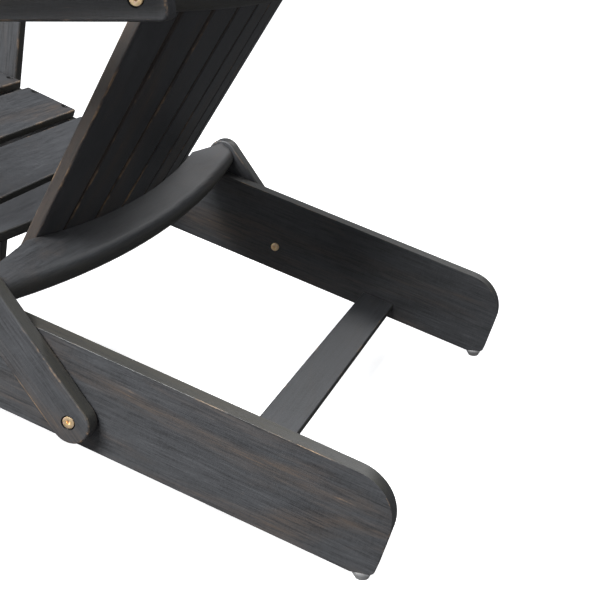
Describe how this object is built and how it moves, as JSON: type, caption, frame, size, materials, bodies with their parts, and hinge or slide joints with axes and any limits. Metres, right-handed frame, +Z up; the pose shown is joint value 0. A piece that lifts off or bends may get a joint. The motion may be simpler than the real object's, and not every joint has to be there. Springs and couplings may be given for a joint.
{
  "type": "folding adirondack chair",
  "caption": "Folding slatted garden armchair with a curved fan back on two bowed rails, sloping side legs, flat arms and hinged front legs.",
  "frame": {"origin": "floor point under the middle of the chair's overall box, open and standing", "axes": "+X towards the sitter's left hand, +Y towards the rear, +Z up"},
  "size_m": [0.798, 0.9157, 0.9186],
  "materials": {
    "stained_wood": "brushed charcoal stain, satin, worn to bare wood on the edges",
    "bare_wood": "unfinished hardwood dowel",
    "yellow_zinc": "yellow zinc plated steel",
    "screw_steel": "dark plated steel",
    "washer_plastic": "black nylon",
    "glide_chrome": "nickel plated steel"
  },
  "bodies": {
    "seat_frame": {"side_leg_left": "stained_wood", "side_leg_right": "stained_wood", "seat_slat_1": "stained_wood", "seat_slat_2": "stained_wood", "seat_slat_3": "stained_wood", "seat_slat_4": "stained_wood", "seat_slat_5": "stained_wood", "rear_stretcher": "stained_wood", "front_apron": "stained_wood", "frame_dowels": "bare_wood", "seat_screws": "screw_steel", "rear_glides": "glide_chrome", "leg_bolts": "yellow_zinc", "leg_sleeve_nuts": "yellow_zinc", "leg_washers": "washer_plastic"},
    "strut_left_body": {"strut_left": "stained_wood"},
    "strut_right_body": {"strut_right": "stained_wood"},
    "back": {"lower_back_rail": "stained_wood", "upper_back_rail": "stained_wood", "back_slat_1": "stained_wood", "back_slat_2": "stained_wood", "back_slat_3": "stained_wood", "back_slat_4": "stained_wood", "back_slat_5": "stained_wood", "back_slat_6": "stained_wood", "back_slat_7": "stained_wood", "back_screws": "screw_steel", "back_bolts": "yellow_zinc", "back_inserts": "yellow_zinc", "back_washers": "washer_plastic"},
    "arm_left": {"arm_board_left": "stained_wood", "arm_beam_left": "stained_wood", "arm_screws_left": "screw_steel", "knee_bolt_left": "yellow_zinc"},
    "arm_right": {"arm_board_right": "stained_wood", "arm_beam_right": "stained_wood", "arm_screws_right": "screw_steel", "knee_bolt_right": "yellow_zinc"},
    "front_leg_left_body": {"front_leg_left": "stained_wood", "knee_nut_left": "yellow_zinc", "knee_washer_left": "washer_plastic", "front_glide_left": "glide_chrome"},
    "front_leg_right_body": {"front_leg_right": "stained_wood", "knee_nut_right": "yellow_zinc", "knee_washer_right": "washer_plastic", "front_glide_right": "glide_chrome"}
  },
  "joints": [
    {"name": "fold", "type": "hinge", "parent": "seat_frame", "child": "strut_left_body", "pos_m": [0.294, 0.10316, 0.12569], "axis": [1, 0, 0], "range_deg": [-106, 0]},
    {"name": "strut_right_pivot", "type": "hinge", "parent": "seat_frame", "child": "strut_right_body", "pos_m": [-0.294, 0.10316, 0.12569], "axis": [1, 0, 0], "range_deg": [-106.01, 0]},
    {"name": "back_pivot", "type": "hinge", "parent": "strut_left_body", "child": "back", "pos_m": [0.294, 0.0204, 0.24108], "axis": [1, 0, 0], "range_deg": [0, 201.01]},
    {"name": "arm_left_pivot", "type": "hinge", "parent": "back", "child": "arm_left", "pos_m": [0.314, 0.20396, 0.51416], "axis": [1, 0, 0], "range_deg": [-96.92, 0]},
    {"name": "arm_right_pivot", "type": "hinge", "parent": "back", "child": "arm_right", "pos_m": [-0.314, 0.20396, 0.51416], "axis": [1, 0, 0], "range_deg": [-96.92, 0]},
    {"name": "front_leg_left_pivot", "type": "hinge", "parent": "seat_frame", "child": "front_leg_left_body", "pos_m": [0.294, -0.338, 0.275], "axis": [1, 0, 0], "range_deg": [0, 87.49]},
    {"name": "front_leg_right_pivot", "type": "hinge", "parent": "seat_frame", "child": "front_leg_right_body", "pos_m": [-0.294, -0.338, 0.275], "axis": [1, 0, 0], "range_deg": [0, 87.49]}
  ],
  "couplings": [
    {"joint": "strut_right_pivot", "follows": "fold", "ratio": 1},
    {"joint": "back_pivot", "follows": "fold", "ratio": -1.8962},
    {"joint": "arm_left_pivot", "follows": "fold", "ratio": 0.91422},
    {"joint": "arm_right_pivot", "follows": "fold", "ratio": 0.91422},
    {"joint": "front_leg_left_pivot", "follows": "fold", "ratio": -0.82531},
    {"joint": "front_leg_right_pivot", "follows": "fold", "ratio": -0.82531}
  ]
}
